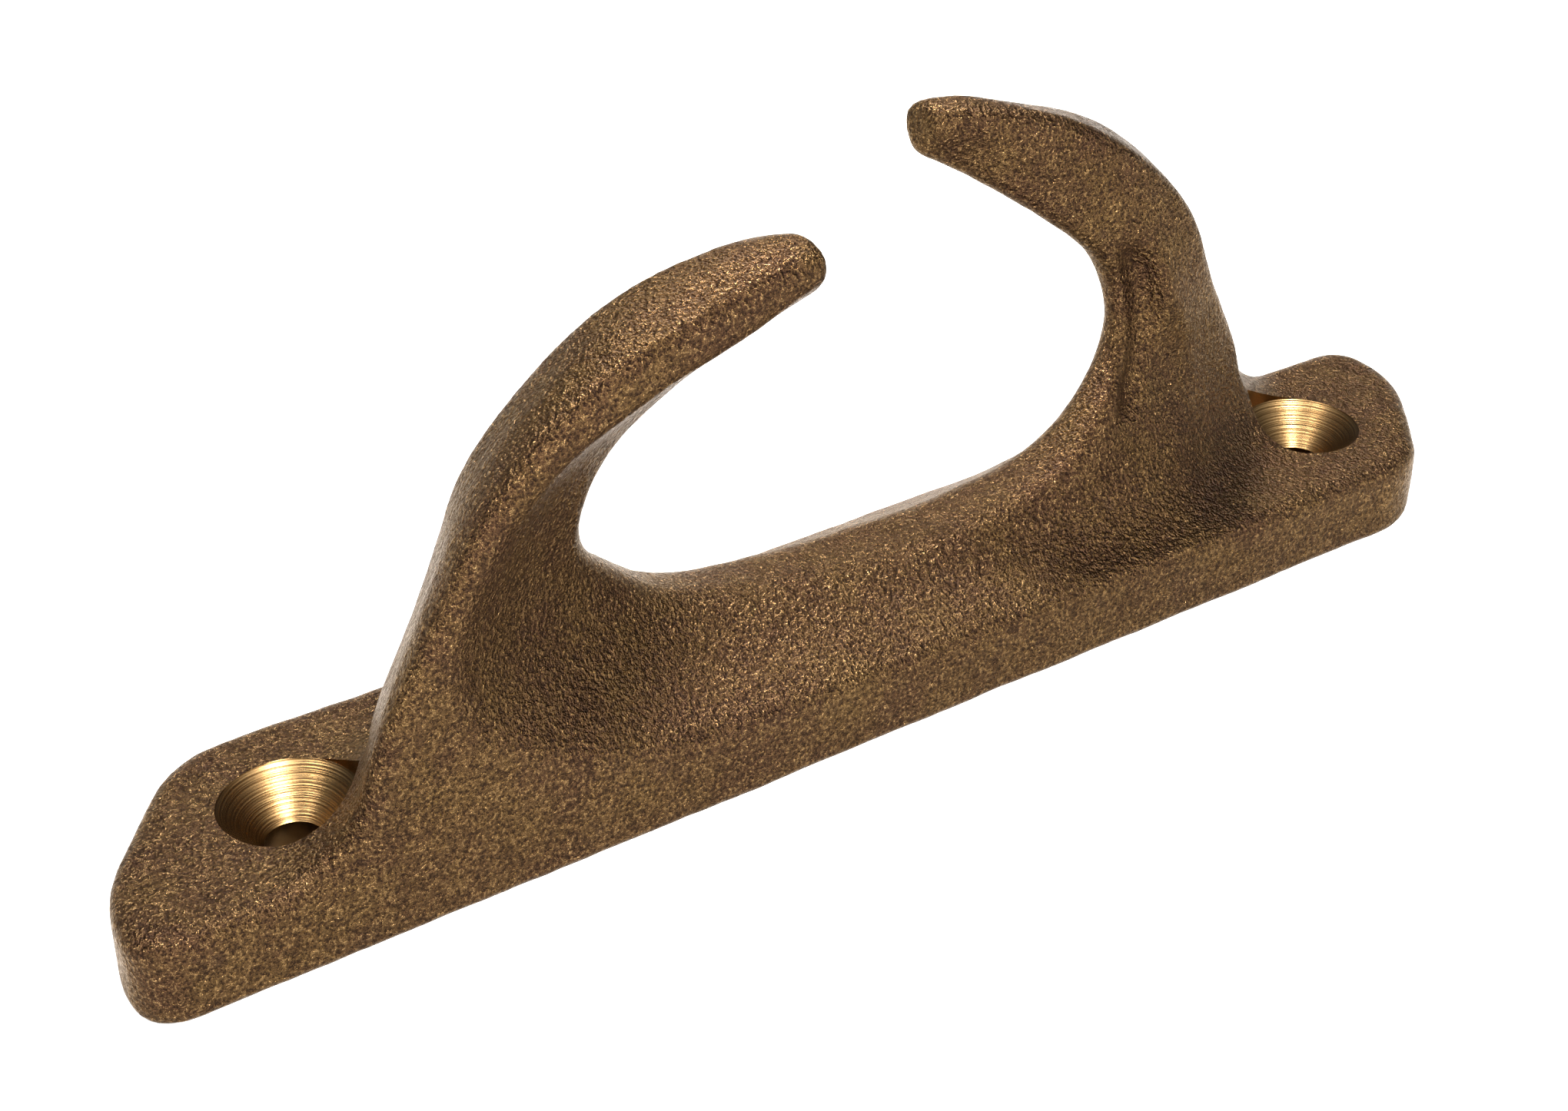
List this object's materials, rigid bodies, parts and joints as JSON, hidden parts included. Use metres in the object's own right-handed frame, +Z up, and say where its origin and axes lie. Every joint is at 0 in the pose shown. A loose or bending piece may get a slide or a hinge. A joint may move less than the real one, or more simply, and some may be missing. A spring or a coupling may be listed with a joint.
{
  "type": "open fairlead bow chock",
  "caption": "Cast bronze open fairlead for a boat: flat base with two countersunk screw holes and two horns that curve in to hold a rope.",
  "frame": {"origin": "centre of the flat underside that sits on the deck", "axes": "+X along the base from screw hole to screw hole, +Y across the base, +Z up out of the deck"},
  "size_m": [0.1566, 0.0245, 0.053],
  "materials": {
    "cast_bronze": "as-cast bronze with brown patina, machined countersinks"
  },
  "bodies": {
    "root": {"fairlead_casting": "cast_bronze"}
  },
  "joints": []
}
